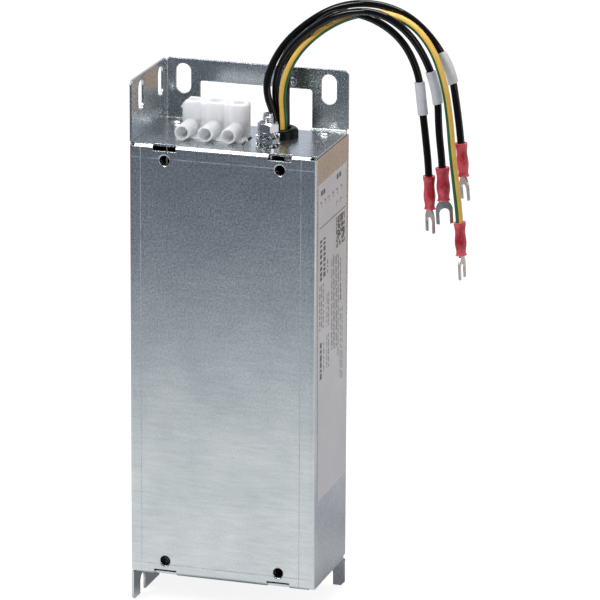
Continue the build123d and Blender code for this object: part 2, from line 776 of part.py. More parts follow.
for key, points in routes.items():
    radii = []
    for before, at, after in zip(points, points[1:], points[2:]):
        back = Vector(*before) - Vector(*at)
        onward = Vector(*after) - Vector(*at)
        turn = math.radians(180 - back.get_angle(onward))
        radii.append(0.45 * min(back.length, onward.length) / math.tan(turn / 2))
    print(f"lead_{key} radii", [round(r, 1) for r in radii])

    with BuildPart() as lead:
        with BuildLine() as run:
            FilletPolyline(*points, radius=radii)
        path = run.wire()
        with BuildSketch(Plane(origin=path @ 0, z_dir=path % 0)):
            Circle(lead_diameter / 2)
        sweep(path=path)
    section = math.pi * lead_diameter**2 / 4
    print(f"lead_{key} length {path.length:.1f}, volume share {lead.part.volume / (section * path.length):.4f}")
    lead.part.label = f"lead_{key}"
    export_step(lead.part, f"parts/lead_{key}.step")

    end = path @ 1
    down = (path % 1).normalized()

    if key in marker_share:
        middle = path @ marker_share[key]
        along = path % marker_share[key]
        with BuildPart() as marker:
            with BuildSketch(Plane(origin=path @ 0, z_dir=path % 0)):
                Circle(marker_diameter / 2)
            sweep(path=path)
            with BuildSketch(Plane(origin=middle - along * (marker_length / 2), z_dir=along)):
                Circle(marker_diameter)
            extrude(amount=marker_length, mode=Mode.INTERSECT)
            add(lead.part, mode=Mode.SUBTRACT)
        marker.part.label = f"marker_{key}"
        export_step(marker.part, f"parts/marker_{key}.step")

    # The insulating sleeve is crimped flat in the fork's plane and flares at both ends
    top = end - down * sleeve_cover
    side = down.cross(Vector(0, 1, 0)).normalized()
    across = side.rotate(Axis((0, 0, 0), down), fork_turn[key])
    own = Plane(origin=top, x_dir=across, z_dir=down)
    with BuildPart() as crimp_sleeve:
        for share, width in sleeve_widths:
            with BuildSketch(own.offset(share * sleeve_length)):
                Ellipse(width / 2, width / 2 * sleeve_flatness)
        loft()
        with BuildSketch(own):
            Circle(lead_diameter / 2 + sleeve_fit)
        extrude(amount=sleeve_cover, mode=Mode.SUBTRACT)
        with BuildSketch(own):
            Circle(barrel_diameter / 2 + sleeve_fit / 2)
        extrude(amount=sleeve_length, mode=Mode.SUBTRACT)
    crimp_sleeve.part.label = f"crimp_sleeve_{key}"
    export_step(crimp_sleeve.part, f"parts/crimp_sleeve_{key}.step")

    # The fork's barrel fills the lower sleeve and its flat tongue reaches below
    flat = Plane(origin=end, x_dir=across, z_dir=down.cross(across))
    tongue_start = sleeve_length - sleeve_cover
    tongue_end = tongue_start + fork_reach
    slot_end = tongue_end - fork_slot_length
    half_neck = fork_neck / 2
    half_fork = fork_width / 2
    with BuildPart() as fork:
        with BuildSketch(Plane(origin=end, x_dir=side, z_dir=down)):
            Circle(barrel_diameter / 2)
        extrude(amount=tongue_start)
        with BuildSketch(flat.offset(-fork_thickness / 2)) as tongue:
            with BuildLine():
                Polyline(
                    (-barrel_diameter * 0.4, -tongue_start + 1.0),
                    (-barrel_diameter * 0.4, -tongue_start),
                    (-half_neck, -tongue_start - fork_tip),
                    (-half_neck - fork_tip, -tongue_start - 2 * fork_tip),
                    (-half_fork + fork_tip, -tongue_start - 0.65 * fork_shoulder),
                    (-half_fork, -tongue_start - fork_shoulder),
                    (-half_fork, -tongue_end + fork_tip),
                    (-half_fork + fork_tip, -tongue_end),
                    (half_fork - fork_tip, -tongue_end),
                    (half_fork, -tongue_end + fork_tip),
                    (half_fork, -tongue_start - fork_shoulder),
                    (half_fork - fork_tip, -tongue_start - 0.65 * fork_shoulder),
                    (half_neck + fork_tip, -tongue_start - 2 * fork_tip),
                    (half_neck, -tongue_start - fork_tip),
                    (barrel_diameter * 0.4, -tongue_start),
                    (barrel_diameter * 0.4, -tongue_start + 1.0),
                    close=True,
                )
            make_face()
            with Locations((0, -slot_end - fork_slot / 2)):
                Circle(fork_slot / 2, mode=Mode.SUBTRACT)
            with Locations((0, -slot_end - fork_slot / 2 - fork_slot_length / 2)):
                Rectangle(fork_slot, fork_slot_length, mode=Mode.SUBTRACT)
        extrude(amount=fork_thickness)
    fork.part.label = f"fork_{key}"
    export_step(fork.part, f"parts/fork_{key}.step")


# Rating label, a thin blank foil on the right wall
with BuildPart() as side_label:
    label_middle_y = front_y + bend_outer + label_front + label_width / 2
    label_middle_z = deck_z - label_top - label_height / 2
    with BuildSketch(Plane.YZ.offset(half_width)):
        with Locations((label_middle_y, label_middle_z)):
            Rectangle(label_width, label_height, rotation=label_tilt)
    extrude(amount=label_thickness)

side_label.part.label = "side_label"
export_step(side_label.part, "parts/side_label.step")


# Insulation between the cover and the board
with BuildPart() as insulation_sheet:
    with BuildSketch(Plane.XZ.offset(sheet)):
        Rectangle(board_width + 2 * sheet_side_margin, board_height + 2 * sheet_end_margin)
    extrude(amount=insulation)

insulation_sheet.part.label = "insulation_sheet"
export_step(insulation_sheet.part, "parts/insulation_sheet.step")

with BuildPart() as board_standoffs:
    with BuildSketch(Plane.XZ.offset(sheet + insulation)):
        with GridLocations(board_hole_pitch_x, board_hole_pitch_z, 2, 2):
            Circle(standoff_diameter / 2)
    extrude(amount=standoff_height)
    with BuildSketch(Plane.XZ.offset(-board_back)):
        with GridLocations(board_hole_pitch_x, board_hole_pitch_z, 2, 2):
            Circle(standoff_bore / 2)
    extrude(amount=-(standoff_height - sheet), mode=Mode.SUBTRACT)

board_standoffs.part.label = "board_standoffs"
export_step(board_standoffs.part, "parts/board_standoffs.step")

with BuildPart() as circuit_board:
    with BuildSketch(Plane.XZ.offset(-board_back)):
        Rectangle(board_width, board_height)
        with GridLocations(board_hole_pitch_x, board_hole_pitch_z, 2, 2):
            Circle(board_hole / 2, mode=Mode.SUBTRACT)
    extrude(amount=board_thickness)

circuit_board.part.label = "circuit_board"
export_step(circuit_board.part, "parts/circuit_board.step")

with BuildPart() as board_screws:
    with BuildSketch(Plane.XZ.offset(-board_front)):
        with GridLocations(board_hole_pitch_x, board_hole_pitch_z, 2, 2):
            Circle(board_screw_head / 2)
    extrude(amount=board_screw_head_height)
    fillet(board_screws.faces().sort_by(Axis.Y)[:4].edges(), radius=board_screw_round)
    with BuildSketch(Plane.XZ.offset(-board_front)):
        with GridLocations(board_hole_pitch_x, board_hole_pitch_z, 2, 2):
            Circle(board_screw / 2)
    extrude(amount=-(board_thickness + standoff_height - sheet - board_screw_gap))

board_screws.part.label = "board_screws"
export_step(board_screws.part, "parts/board_screws.step")


# Common-mode choke: a toroid lying flat on the board, three windings on it
core_back = board_front - part_lift - winding_wire
core_front = core_back - core_height
core_plane = Plane.XY.offset(core_z)
with BuildPart() as choke_core:
    with BuildSketch(core_plane):
        with BuildLine():
            Polyline(
                (core_inner / 2, core_back),
                (core_outer / 2, core_back),
                (core_outer / 2, core_front),
                (core_inner / 2, core_front),
                close=True,
            )
        make_face()
    revolve(axis=Axis((0, 0, core_z), (0, 1, 0)))
    fillet(choke_core.edges().filter_by(GeomType.CIRCLE), radius=core_round)

choke_core.part.label = "choke_core"
export_step(choke_core.part, "parts/choke_core.step")

for number in (1, 2, 3):
    with BuildPart() as winding:
        with BuildSketch(core_plane) as section:
            with Locations(((core_inner + core_outer) / 4, (core_back + core_front) / 2)):
                RectangleRounded(
                    (core_outer - core_inner) / 2 + 2 * winding_wire,
                    core_height + 2 * winding_wire,
                    winding_wire + core_round,
                )
                RectangleRounded(
                    (core_outer - core_inner) / 2 + 2 * winding_fit,
                    core_height + 2 * winding_fit,
                    core_round,
                    mode=Mode.SUBTRACT,
                )
        revolve(axis=Axis((0, 0, core_z), (0, 1, 0)), revolution_arc=winding_span)
    placed = winding.part.rotate(Axis((0, 0, core_z), (0, 1, 0)), 120 * number - winding_span / 2 - 90)
    placed.label = f"choke_winding_{number}"
    export_step(placed, f"parts/choke_winding_{number}.step")


# Box capacitors across the lines, on two wire feet each
for number in (1, 2, 3):
    cap_z = x_cap_z + x_cap_pitch * (2 - number)
    with BuildPart() as x_capacitor:
        with BuildSketch(Plane.XZ.offset(-board_front + part_lift)):
            with Locations((x_cap_x, cap_z)):
                Rectangle(x_cap_width, x_cap_height)
        extrude(amount=x_cap_depth)
        fillet(x_capacitor.edges().filter_by(Axis.Y), radius=0.8)
        with BuildSketch(Plane.XZ.offset(-board_front)):
            foot = x_cap_width / 2 - x_cap_foot
            with Locations((x_cap_x - foot, cap_z), (x_cap_x + foot, cap_z)):
                Circle(lead_foot / 2)
        extrude(amount=part_lift)
    x_capacitor.part.label = f"x_capacitor_{number}"
    export_step(x_capacitor.part, f"parts/x_capacitor_{number}.step")

with BuildPart() as y_capacitors:
    for step in (-1, 0, 1):
        cap_z = x_cap_z + step * y_cap_pitch
        with BuildSketch(Plane.XZ.offset(-board_front + part_lift)):
            with Locations((y_cap_x, cap_z)):
                Rectangle(y_cap_width, y_cap_height)
        extrude(amount=y_cap_depth)
        with BuildSketch(Plane.XZ.offset(-board_front)):
            foot = y_cap_width / 2 - y_cap_foot
            with Locations((y_cap_x - foot, cap_z), (y_cap_x + foot, cap_z)):
                Circle(lead_foot / 2)
        extrude(amount=part_lift)

y_capacitors.part.label = "y_capacitors"
export_step(y_capacitors.part, "parts/y_capacitors.step")

with BuildPart() as bleed_resistors:
    for step in (-1, 0, 1):
        middle_z = resistor_z + step * resistor_pitch
        with BuildSketch(Plane.YZ.offset(-resistor_length / 2)):
            with Locations((board_front - part_lift - resistor_diameter / 2, middle_z)):
                Circle(resistor_diameter / 2)
        extrude(amount=resistor_length)
        with BuildSketch(Plane.XZ.offset(-board_front)):
            foot = resistor_length / 2 - resistor_foot
            with Locations((-foot, middle_z), (foot, middle_z)):
                Circle(lead_foot / 2)
        extrude(amount=part_lift + resistor_diameter / 2)

bleed_resistors.part.label = "bleed_resistors"
export_step(bleed_resistors.part, "parts/bleed_resistors.step")


# Wires inside, each bent once from its terminal, lead or lug to the board
input_wire_y = block_front + input_wire_setback
with BuildPart() as input_wires:
    for x in pole_x:
        with BuildLine() as run:
            FilletPolyline(
                (x, input_wire_y, deck_z - plug_depth),
                (x, input_wire_y, input_wire_z),
                (x, board_front, input_wire_z),
                radius=[input_bend],
            )
        with BuildSketch(Plane(origin=run.line @ 0, z_dir=run.line % 0)):
            Circle(wire_diameter / 2)
        sweep(path=run.line)

input_wires.part.label = "input_wires"
export_step(input_wires.part, "parts/input_wires.step")

with BuildPart() as lead_stubs:
    for x in (left_x, right_x):
        for y, low in ((near_y, stub_low), (far_y, stub_high)):
            with BuildLine() as run:
                FilletPolyline((x, y, under_deck), (x, y, low), (x, board_front, low), radius=[stub_bend])
            with BuildSketch(Plane(origin=run.line @ 0, z_dir=run.line % 0)):
                Circle(lead_diameter / 2)
            sweep(path=run.line)

lead_stubs.part.label = "lead_stubs"
export_step(lead_stubs.part, "parts/lead_stubs.step")

with BuildPart() as earth_wire:
    with BuildLine() as run:
        FilletPolyline(
            (stud_x + lug_reach - seam + lug_barrel_length, stud_y, barrel_z),
            (earth_wire_x, stud_y, barrel_z),
            (earth_wire_x, stud_y, earth_wire_z),
            (earth_wire_x, board_front, earth_wire_z),
            radius=[earth_wire_bend, input_bend],
        )
    with BuildSketch(Plane(origin=run.line @ 0, z_dir=run.line % 0)):
        Circle(wire_diameter / 2)
    sweep(path=run.line)

earth_wire.part.label = "earth_wire"
export_step(earth_wire.part, "parts/earth_wire.step")
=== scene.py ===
# %% [markdown]
# A line filter in a folded zinc-coated box, ready to hang behind a motor drive. The
# measured solids come in first and stay where they are. Everything below either gives
# them a finish or lays a finer piece over them, in the same metres.

# %% Load the measured solids
import bpy
import math
import random
from mathutils import Matrix, Vector


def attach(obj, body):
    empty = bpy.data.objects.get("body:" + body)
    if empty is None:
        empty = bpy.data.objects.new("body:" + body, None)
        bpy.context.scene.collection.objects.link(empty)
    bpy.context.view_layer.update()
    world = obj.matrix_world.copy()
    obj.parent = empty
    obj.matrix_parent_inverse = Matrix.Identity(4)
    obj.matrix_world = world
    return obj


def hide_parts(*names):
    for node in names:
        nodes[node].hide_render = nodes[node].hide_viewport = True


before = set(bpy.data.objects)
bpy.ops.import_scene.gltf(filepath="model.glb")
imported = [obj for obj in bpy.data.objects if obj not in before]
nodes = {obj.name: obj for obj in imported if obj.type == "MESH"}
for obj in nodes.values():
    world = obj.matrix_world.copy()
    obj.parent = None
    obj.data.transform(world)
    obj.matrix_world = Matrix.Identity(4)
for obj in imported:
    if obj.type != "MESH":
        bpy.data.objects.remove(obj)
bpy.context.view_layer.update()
print("solids loaded:", len(nodes))

# %% [markdown]
# The camera could be aimed by eye, but a box shows at once when the view is a degree off.
# So its place and angles were worked out from the corners of the box. It stands a little
# to the right and above, far off with a long lens, as a product photographer would put it.

# %% Camera
CAMERA_PLACE = (0.5898, -1.8447, 0.5890)
CAMERA_TURN = 17.178
CAMERA_DOWN = 16.458
CAMERA_ROLL = 0.336
LENS = 285.4
camera_data = bpy.data.cameras.new("camera")
camera_data.lens = LENS
camera_data.sensor_width = 36.0
camera = bpy.data.objects.new("camera", camera_data)
bpy.context.collection.objects.link(camera)
turn = Matrix.Rotation(math.radians(CAMERA_TURN), 4, "Z")
tip = Matrix.Rotation(math.radians(90 - CAMERA_DOWN), 4, "X")
roll = Matrix.Rotation(math.radians(CAMERA_ROLL), 4, "Z")
camera.matrix_world = Matrix.Translation(CAMERA_PLACE) @ turn @ tip @ roll
bpy.context.scene.camera = camera
bpy.context.scene.view_settings.view_transform = "Standard"
print("camera stands at", CAMERA_PLACE)

# %% [markdown]
# Four limp leads leave the grommet in a square, rise, turn over to the right and hang down
# under their own weight. They could be swept along straight runs and arcs, but that looks
# like bent pipe. So a route is only the few points that pull one smooth line into place,
# in millimetres, from under the deck to the mouth of the crimp sleeve.

# %% Routes of the leads
MM = 0.001
LEAD_DIAMETER = 3.1
lead_routes = {
    "1": [
        (14.6, -18.3, 93.0), (14.6, -18.3, 100.5), (8.8, -18.2, 115.0), (14.0, -15.2, 130.0),
        (24.0, -12.6, 141.0), (37.5, -11.6, 149.8), (52.5, -10.8, 152.5), (67.5, -10.3, 149.0),
        (79.5, -10.5, 139.0), (87.5, -11.0, 126.0), (90.0, -11.0, 111.5), (91.8, -11.0, 98.5),
        (92.8, -11.0, 88.0),
    ],
    "2": [
        (17.8, -15.1, 93.0), (17.8, -15.1, 100.5), (16.4, -11.6, 115.0), (19.0, -12.9, 129.5),
        (27.8, -14.7, 140.0), (39.0, -15.6, 149.2), (54.5, -15.8, 147.5), (67.0, -14.0, 139.0),
        (74.0, -13.0, 125.5), (75.7, -13.0, 111.0), (77.5, -13.0, 97.0), (79.0, -13.0, 83.5),
        (79.4, -13.0, 73.3),
    ],
    "3": [
        (14.6, -15.1, 93.0), (14.6, -15.1, 100.5), (12.4, -15.2, 115.5), (18.0, -17.5, 130.0),
        (29.0, -19.0, 141.0), (42.0, -19.0, 149.0), (57.5, -19.0, 151.0), (70.5, -18.0, 143.5),
        (78.5, -15.5, 130.5), (83.0, -15.0, 116.0), (83.5, -15.0, 101.5), (85.2, -15.0, 88.0),
        (85.8, -15.0, 78.0),
    ],
    "earth": [
        (17.8, -18.3, 93.0), (17.8, -18.3, 100.5), (17.2, -20.0, 115.0), (21.9, -19.8, 128.5),
        (31.3, -16.8, 139.2), (43.5, -12.8, 146.5), (57.0, -12.0, 149.0), (71.0, -14.0, 146.0),
        (81.5, -18.0, 136.5), (87.0, -19.5, 122.5), (89.3, -19.5, 108.5), (90.6, -19.5, 94.0),
        (92.4, -19.5, 80.0), (94.1, -19.5, 67.0), (94.8, -19.5, 56.5),
    ],
}
for key, points in lead_routes.items():
    print("route of lead", key, "has", len(points), "points")

# %% [markdown]
# A bevel makes each line round. The bevel depth stays at 1 and every point carries the
# lead's radius instead, because Blender adds that radius to the box that it measures round
# a curve, and so the box stays true.

# %% Leads
leads = {}
for key, points in lead_routes.items():
    line = bpy.data.curves.new(f"lead_skin_{key}", "CURVE")
    line.dimensions = "3D"
    spline = line.splines.new("NURBS")
    spline.points.add(len(points) - 1)
    for target, point in zip(spline.points, points):
        target.co = (point[0] * MM, point[1] * MM, point[2] * MM, 1.0)
        target.radius = LEAD_DIAMETER * MM / 2
    spline.order_u = 3
    spline.use_endpoint_u = True
    spline.resolution_u = 10
    line.bevel_depth = 1.0
    line.bevel_resolution = 6
    line.use_fill_caps = True
    leads[key] = bpy.data.objects.new(f"lead_skin_{key}", line)
    bpy.context.collection.objects.link(leads[key])
print("leads laid:", len(leads))

# %% [markdown]
# Each lead takes the place of the plain tube that was measured: the tube is hidden, and the lead
# is hung on the root body.

# %% Leads in place of the tubes
for key, lead in leads.items():
    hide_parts(f"lead_{key}")
    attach(lead, "root")

# %% [markdown]
# Every shader below is a chain of small nodes. By hand, they are dragged together in the
# shader editor. In code, three helpers do it: one fills a socket with a number, a colour or
# a link, one adds any node with its sockets filled, and one does sums.


# %% Helpers for shader nodes
def plug(tree, socket, value):
    if isinstance(value, (int, float)):
        socket.default_value = value
    elif isinstance(value, tuple):
        socket.default_value = value if socket.type == "VECTOR" else (*value, 1)
    else:
        tree.links.new(value, socket)


def add_node(tree, kind, **values):
    made = tree.nodes.new(f"ShaderNode{kind}")
    for name, value in values.items():
        plug(tree, made.inputs[name.replace("_", " ")], value)
    return made


def maths(tree, operation, *terms):
    made = tree.nodes.new("ShaderNodeMath")
    made.operation = operation
    for socket, term in zip(made.inputs, terms):
        plug(tree, socket, term)
    return made.outputs[0]


print("sockets can be filled and sums done")

# %% [markdown]
# A pattern gives a number from 0 to 1 at each point. These three turn it into something to
# see: spread stretches it between two other numbers, shade_along gives each stretch of it a
# colour, and mixed lays one colour over another by it.


# %% Helpers for tones
def spread(tree, source, low, high, start=0.0, end=1.0):
    made = add_node(tree, "MapRange", From_Min=start, From_Max=end, To_Min=low, To_Max=high)
    tree.links.new(source, made.inputs["Value"])
    return made.outputs["Result"]


def shade_along(tree, source, stops):
    made = add_node(tree, "ValToRGB", Fac=source)
    first, last = made.color_ramp.elements
    first.position = stops[0][0]
    first.color = (*stops[0][1], 1)
    last.position = stops[-1][0]
    last.color = (*stops[-1][1], 1)
    for stop, colour in stops[1:-1]:
        made.color_ramp.elements.new(stop).color = (*colour, 1)
    return made.outputs["Color"]


def mixed(tree, factor, first, second, blend="MIX"):
    made = tree.nodes.new("ShaderNodeMix")
    made.data_type = "RGBA"
    made.blend_type = blend
    for name, value in (("Factor", factor), ("A", first), ("B", second)):
        plug(tree, made.inputs[name], value)
    return made.outputs["Result"]


print("numbers can be turned into tones")

# %% [markdown]
# Floor and world have to tell where a point lies and who looks at it. The camera is to see
# them white, while bright metal sees a darker room. Light Path knows which kind of ray
# has arrived, and a Mix Shader then picks one of two surfaces by it.


# %% Helpers for floor and world
def either_shader(tree, factor, first, second):
    made = tree.nodes.new("ShaderNodeMixShader")
    for socket, value in zip(made.inputs, (factor, first, second)):
        tree.links.new(value, socket)
    return made.outputs[0]


def axes_of(tree, coordinate="Object"):
    place = tree.nodes.new("ShaderNodeTexCoord")
    split = add_node(tree, "SeparateXYZ", Vector=place.outputs[coordinate])
    return split.outputs


def who_looks(tree):
    ray = tree.nodes.new("ShaderNodeLightPath").outputs
    in_metal = maths(tree, "MAXIMUM", ray["Is Glossy Ray"], ray["Is Transmission Ray"])
    return ray["Is Camera Ray"], in_metal


print("places and onlookers can be told apart")

# %% [markdown]
# The floor is a plain pale sheet under the lowest flange. A curved backdrop would do as
# well, but the picture has no horizon, so one large plane is enough.

# %% Floor
FLOOR = -0.1071
bpy.ops.object.select_all(action="DESELECT")
bpy.ops.mesh.primitive_plane_add(size=8.0, location=(0, 0, FLOOR))
floor = bpy.context.object
floor.name = "floor"
floor_material = bpy.data.materials.new("floor_white")
floor_material.use_nodes = True
floor.data.materials.append(floor_material)
print("floor laid at", FLOOR)

# %% [markdown]
# What a flat sheet of zinc shows is mostly the floor that it mirrors. Lit by lamps alone,
# the floor would need a whole dim room round it. Here it is given its brightness by its
# distance from the filter: bright near by and dark far off, as a lit table is. That fall is
# what shades the front from bottom to top. Behind the filter it turns to a warm brown, and
# far to the right it is white again.

# %% Floor as the metal sees it
tree = floor_material.node_tree
tree.nodes.clear()
spot = tree.nodes.new("ShaderNodeTexCoord").outputs["Object"]
reach = tree.nodes.new("ShaderNodeVectorMath")
reach.operation = "LENGTH"
tree.links.new(spot, reach.inputs[0])
# Close round the filter the mirrored floor is dark: a painted shadow under the box, since this glow takes
# no shadow of its own.
floor_in_front = [
    (0.045, (0.16, 0.17, 0.18)), (0.07, (0.94, 0.94, 0.94)), (0.22, (0.93, 0.95, 0.93)),
    (0.33, (0.84, 0.85, 0.86)), (0.46, (0.46, 0.5, 0.56)), (0.56, (0.19, 0.23, 0.28)),
    (0.67, (0.1, 0.13, 0.17)), (0.9, (0.08, 0.1, 0.13)),
]
floor_behind = [
    (0.06, (0.3, 0.3, 0.33)), (0.2, (0.62, 0.62, 0.66)), (0.38, (0.56, 0.52, 0.5)),
    (0.6, (0.44, 0.3, 0.21)), (0.9, (0.44, 0.3, 0.21)),
]
floor_axes = axes_of(tree)
far_side = spread(tree, floor_axes["Y"], 0.0, 1.0, -0.05, 0.08)
front_tone = shade_along(tree, reach.outputs["Value"], floor_in_front)
back_tone = shade_along(tree, reach.outputs["Value"], floor_behind)
table_tone = mixed(tree, far_side, front_tone, back_tone)
rightward = spread(tree, floor_axes["X"], 0.0, 1.0, 0.42, 0.5)
level_with = spread(tree, floor_axes["Y"], 0.0, 1.0, -0.16, -0.1)
white_corner = maths(tree, "MULTIPLY", rightward, level_with)
floor_tone = mixed(tree, white_corner, table_tone, (0.95, 0.95, 0.95))
print("floor tones in front and behind:", len(floor_in_front), len(floor_behind))

# %% [markdown]
# A strong lamp could make the floor white, but it would wash out the filter too. Instead the
# floor glows for the camera and for mirrors alone, and stays a dull surface for the lamps,
# so that it still takes a soft shadow.

# %% Floor material
FLOOR_GLOW = 0.87
by_camera, in_metal = who_looks(tree)
glow_level = maths(tree, "MULTIPLY", by_camera, FLOOR_GLOW)
glow_seen = add_node(tree, "Emission", Strength=glow_level)
glow_mirrored = add_node(tree, "Emission", Strength=in_metal, Color=floor_tone)
ground = add_node(tree, "BsdfDiffuse", Color=(0.24, 0.24, 0.245))
dark = add_node(tree, "BsdfDiffuse", Color=(0.0, 0.0, 0.0))
plain = either_shader(tree, in_metal, ground.outputs[0], dark.outputs[0])
glows = tree.nodes.new("ShaderNodeAddShader")
tree.links.new(glow_seen.outputs[0], glows.inputs[0])
tree.links.new(glow_mirrored.outputs[0], glows.inputs[1])
whole = tree.nodes.new("ShaderNodeAddShader")
tree.links.new(plain, whole.inputs[0])
tree.links.new(glows.outputs[0], whole.inputs[1])
add_node(tree, "OutputMaterial", Surface=whole.outputs[0])
print("floor glows at", FLOOR_GLOW, "for the camera")

# %% [markdown]
# The world is white to the camera. Metal sees a pale band round the horizon and a darker
# room above it, dimmer in front than behind, so that bright fittings get the light and dark
# streaks that make them look hard. Everything else is lit by an even, faintly blue light.

# %% World
world = bpy.data.worlds.new("studio")
bpy.context.scene.world = world
world.use_nodes = True
tree = world.node_tree
tree.nodes.clear()
room_upwards = [
    (0.0, (0.74, 0.78, 0.86)), (0.38, (0.62, 0.66, 0.74)), (0.6, (0.2, 0.22, 0.26)),
    (0.8, (0.3, 0.32, 0.35)), (1.0, (0.6, 0.62, 0.64)),
]
sky_axes = axes_of(tree, "Generated")
room_tone = shade_along(tree, sky_axes["Z"], room_upwards)
room_level = spread(tree, sky_axes["Y"], 0.22, 1.0, -0.5, 0.2)
white = add_node(tree, "Background", Color=(1.0, 1.0, 1.0))
room = add_node(tree, "Background", Color=room_tone, Strength=room_level)
around = add_node(tree, "Background", Color=(0.9, 0.94, 1.0), Strength=0.42)
by_camera, in_metal = who_looks(tree)
lit = either_shader(tree, in_metal, around.outputs[0], room.outputs[0])
shown = either_shader(tree, by_camera, lit, white.outputs[0])
add_node(tree, "OutputWorld", Surface=shown)
print("world made, with room tones:", len(room_upwards))

# %% [markdown]
# Small hard lamps would draw sharp glints on metal, so all three are large and soft: the
# key from the upper left, a weak warm one from the right, and one overhead that draws the
# bright line along the bend between front and deck.


# %% Lamps
def lamp(name, place, aim, size, power, colour=(1, 1, 1)):
    data = bpy.data.lights.new(name, "AREA")
    data.shape = "RECTANGLE"
    data.size, data.size_y = size
    data.energy = power
    data.color = colour
    made = bpy.data.objects.new(name, data)
    bpy.context.collection.objects.link(made)
    made.location = place
    made.rotation_euler = (Vector(aim) - Vector(place)).to_track_quat("-Z", "Y").to_euler()
    print(name, "lamp gives", power, "W")


lamp("key", (-0.9, -1.3, 1.5), (0, 0, 0), (0.8, 0.6), 19)
lamp("fill", (1.6, -0.9, 0.6), (0, 0, 0), (0.8, 1.2), 5, (1.0, 0.95, 0.9))
lamp("top", (0.0, 0.15, 1.5), (0, 0, 0), (0.9, 0.7), 15)

# %% [markdown]
# Finishes. Each is a small node tree on Object coordinates, so the grain has a real size
# and stays put when the filter is seen from another side. Painted images could do it too,
# but every piece would need a UV map, and close up the pixels would show.


# %% Helpers for finishes
def finish_of(name, colour, rough, metal=0.0, **settings):
    made = bpy.data.materials.new(name)
    made.use_nodes = True
    shader = made.node_tree.nodes["Principled BSDF"]
    shader.inputs["Base Color"].default_value = (*colour, 1)
    shader.inputs["Roughness"].default_value = rough
    shader.inputs["Metallic"].default_value = metal
    for socket, value in settings.items():
        shader.inputs[socket.replace("_", " ")].default_value = value
    print("finish", name)
    return made, made.node_tree, shader


def noise(tree, scale, detail=4.0, rough=0.55, squash=(1, 1, 1)):
    place = tree.nodes.new("ShaderNodeTexCoord")
    fit = add_node(tree, "Mapping", Vector=place.outputs["Object"], Scale=squash)
    made = add_node(tree, "TexNoise", Scale=scale, Detail=detail, Roughness=rough)
    tree.links.new(fit.outputs["Vector"], made.inputs["Vector"])
    return made.outputs["Fac"]


def mottled(tree, source, low, high, start=0.3, end=0.7):
    return shade_along(tree, source, [(start, low), (end, high)])


def bump(tree, shader, height, depth, strength=0.5, edge=0.0):
    made = add_node(tree, "Bump", Distance=depth, Strength=strength, Height=height)
    if edge:
        soft = add_node(tree, "Bevel", Radius=edge)
        soft.samples = 4
        tree.links.new(soft.outputs["Normal"], made.inputs["Normal"])
    tree.links.new(made.outputs["Normal"], shader.inputs["Normal"])


print("finishes can be started")

# %% [markdown]
# Zinc-coated sheet has three scales of pattern: broad clouds, a crystal speckle of under a
# millimetre, and drawn lines from the rolling mill. One noise can't hold all three, so
# three are multiplied. The speckle shows most near the top of the front, where the sheet
# mirrors the dark room, so its contrast grows with height there.

# %% Zinc colour
FRONT = -0.0468
zinc, tree, shader = finish_of("zinc_sheet", (0.62, 0.64, 0.67), 0.3, 1.0)
sheet_axes = axes_of(tree)
on_front = maths(tree, "LESS_THAN", sheet_axes["Y"], FRONT)
cloud = noise(tree, 45, 5)
speckle = noise(tree, 1150, 4, 0.72)
drawn = noise(tree, 420, 5, 0.7, (0.2, 1, 1.5))
tone = mottled(tree, cloud, (0.58, 0.62, 0.645), (0.68, 0.71, 0.725))
rising = maths(tree, "MULTIPLY", on_front, spread(tree, sheet_axes["Z"], 0.0, 0.8, -0.04, 0.07))
contrast = maths(tree, "ADD", rising, 0.22)
crystal = mottled(tree, speckle, (0.66, 0.66, 0.66), (1.34, 1.34, 1.34), 0.34, 0.66)
tone = mixed(tree, contrast, tone, crystal, "MULTIPLY")
tone = mixed(tree, 1.0, tone, mottled(tree, drawn, (0.92, 0.92, 0.92), (1.08, 1.08, 1.08)), "MULTIPLY")

# %% [markdown]
# The folding tools rule thin pale lines a few millimetres inside the front's edges. Grooves
# this fine would vanish at this distance, so each line is a band of colour at a fixed
# height or width. A slow noise rubs the lines out here and there.

# %% Tool lines on the zinc
LINE_HALF = 0.00017
tool_lines = (("X", -0.0354), ("X", 0.0342), ("Z", 0.0883), ("Z", -0.089))
lines = 0.0
for axis, line_at in tool_lines:
    lines = maths(tree, "ADD", maths(tree, "COMPARE", sheet_axes[axis], line_at, LINE_HALF), lines)
lines = maths(tree, "MULTIPLY", lines, on_front)
lines = maths(tree, "MULTIPLY", lines, spread(tree, noise(tree, 180, 2), 0.2, 1.0, 0.35, 0.6))
tone = mixed(tree, lines, tone, (0.6, 0.63, 0.66))
print("tool lines on the front:", len(tool_lines))
